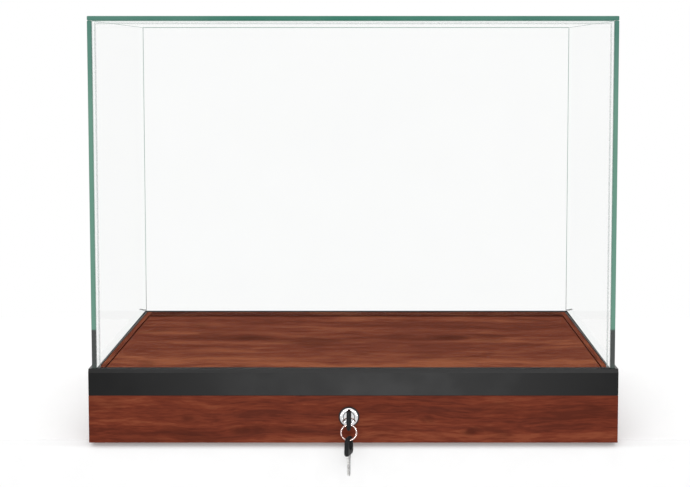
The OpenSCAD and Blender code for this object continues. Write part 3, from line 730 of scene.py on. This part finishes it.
def build_pieces():
    """Dresses the kept nodes and adds the pieces that the scene shapes itself."""
    dress_kept_nodes()
    for node, thin_axis in (("front_glass", 1), ("rear_glass", 1), ("left_glass", 0),
                            ("right_glass", 0), ("top_glass", 2)):
        glass_pane(node.replace("glass", "pane"), node, thin_axis)
    pane_foot(-1)
    pane_foot(1)
    seal_bead()
    groove_shade_lining()
    lock_cylinder()
    lock_shade_washer()
    key_head("key_grip", "key_head", "key", LOCK + Vector((0, -LOCK_FACE_T, 0)), (0, -1, 0), 0)
    low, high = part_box("spare_key_blade")
    spare_zero = Vector((LOCK.x, (low.y + high.y) / 2, low.z + BLADE_IN))
    key_head("spare_key_grip", "spare_key_head", "spare_key", spare_zero, (0, 0, 1), SPARE_TURN)
    key_ring()


# Studio

def counter_paint(name, strength):
    """Pale paint that looks white to the eye and in reflections, and takes shadows."""
    n = Nodes(name)
    grain = n.noise(n.place(), 40.0, 3.0)
    colour = n.ramp(grain, (0.3, (0.80, 0.80, 0.80)), (0.7, (0.82, 0.82, 0.82)))
    paint = n.add("ShaderNodeBsdfDiffuse", {"Color": colour}).outputs[0]
    glow = n.add("ShaderNodeEmission", {"Strength": n.math("MULTIPLY", n.seen(), strength)}).outputs[0]
    return n.finish(n.add("ShaderNodeAddShader", {0: paint, 1: glow}).outputs[0])


def counter():
    """A pale counter whose sloped front edge lies under the case's front, so that the keys hang free.

    The profile runs from the foot of its back over the top to the foot of its front.
    """
    bend_y = COUNTER_FRONT + EDGE_BEND
    bend_z = -EDGE_DROP - EDGE_BEND * math.cos(EDGE_SLOPE)
    angles = [EDGE_SLOPE + (math.pi / 2 - EDGE_SLOPE) * i / 12 for i in range(13)]
    bend = [(bend_y - EDGE_BEND * math.sin(a), bend_z + EDGE_BEND * math.cos(a)) for a in angles]
    slope_y = bend[0][0] + EDGE_DROP / math.tan(EDGE_SLOPE)
    profile = [(COUNTER_BACK, -COUNTER_H), (COUNTER_BACK, 0.0), (slope_y, 0.0)] + bend
    profile.append((COUNTER_FRONT, -COUNTER_H))
    work = bmesh.new()
    left, right = ([work.verts.new((x, y, z)) for y, z in profile] for x in (-COUNTER_HALF_W, COUNTER_HALF_W))
    for i in range(len(profile) - 1):
        face = work.faces.new((left[i], left[i + 1], right[i + 1], right[i]))
        face.material_index = 0 if i < 2 else 1
        face.smooth = i > 2
    mesh = bpy.data.meshes.new("counter")
    work.to_mesh(mesh)
    work.free()
    mesh.materials.append(counter_paint("counter_top", TOP_GLOW))
    mesh.materials.append(counter_paint("counter_edge", EDGE_GLOW))
    top = bpy.data.objects.new("counter", mesh)
    bpy.context.scene.collection.objects.link(top)


def sky():
    """White to the eye and in reflections, and a softer even light on the object."""
    n = Nodes("studio", bpy.data.worlds)
    soft, white = (
        n.add("ShaderNodeBackground", {"Color": (1, 1, 1, 1), "Strength": strength}).outputs[0]
        for strength in (SKY_LIGHT, 1.0)
    )
    bpy.context.scene.world = n.finish(n.blend(n.seen(), soft, white), "ShaderNodeOutputWorld")


def lamp(name, place, target, size, power):
    """A rectangular lamp that faces a point, with its power in watts."""
    data = bpy.data.lights.new(name, "AREA")
    data.shape = "RECTANGLE"
    data.size, data.size_y = size
    data.energy = power
    body = bpy.data.objects.new(name, data)
    body.location = place
    body.rotation_euler = (Vector(target) - Vector(place)).to_track_quat("-Z", "Y").to_euler()
    bpy.context.scene.collection.objects.link(body)


def studio():
    """The counter, the white surroundings, two softboxes and a low strip for the band and the lock."""
    counter()
    sky()
    lamp("key_softbox", (-0.2, -2.6, 1.9), (0, 0, 0.1), (2.6, 1.8), 30)
    lamp("top_softbox", (0, 0.2, 2.4), (0, 0, 0), (2.0, 1.6), 6)
    lamp("low_fill", (0.025, -2.0, -0.315), (0.02, -0.2, 0.07), (0.68, 0.05), 6.2)


def camera():
    """A camera at the photograph's view."""
    data = bpy.data.cameras.new("camera")
    data.sensor_fit = "HORIZONTAL"
    data.sensor_width = 36
    data.lens = CAMERA_LENS
    data.shift_x, data.shift_y = CAMERA_SHIFT
    data.clip_start, data.clip_end = 0.01, 50
    body = bpy.data.objects.new("camera", data)
    body.location = CAMERA_PLACE
    body.rotation_euler = (math.radians(90 - CAMERA_TILT), 0, 0)
    bpy.context.scene.collection.objects.link(body)
    bpy.context.scene.camera = body


def settings():
    scene = bpy.context.scene
    scene.view_settings.view_transform = "Standard"
    scene.cycles.max_bounces = 10
    scene.cycles.transparent_max_bounces = 32


camera()
studio()
build_pieces()
settings()
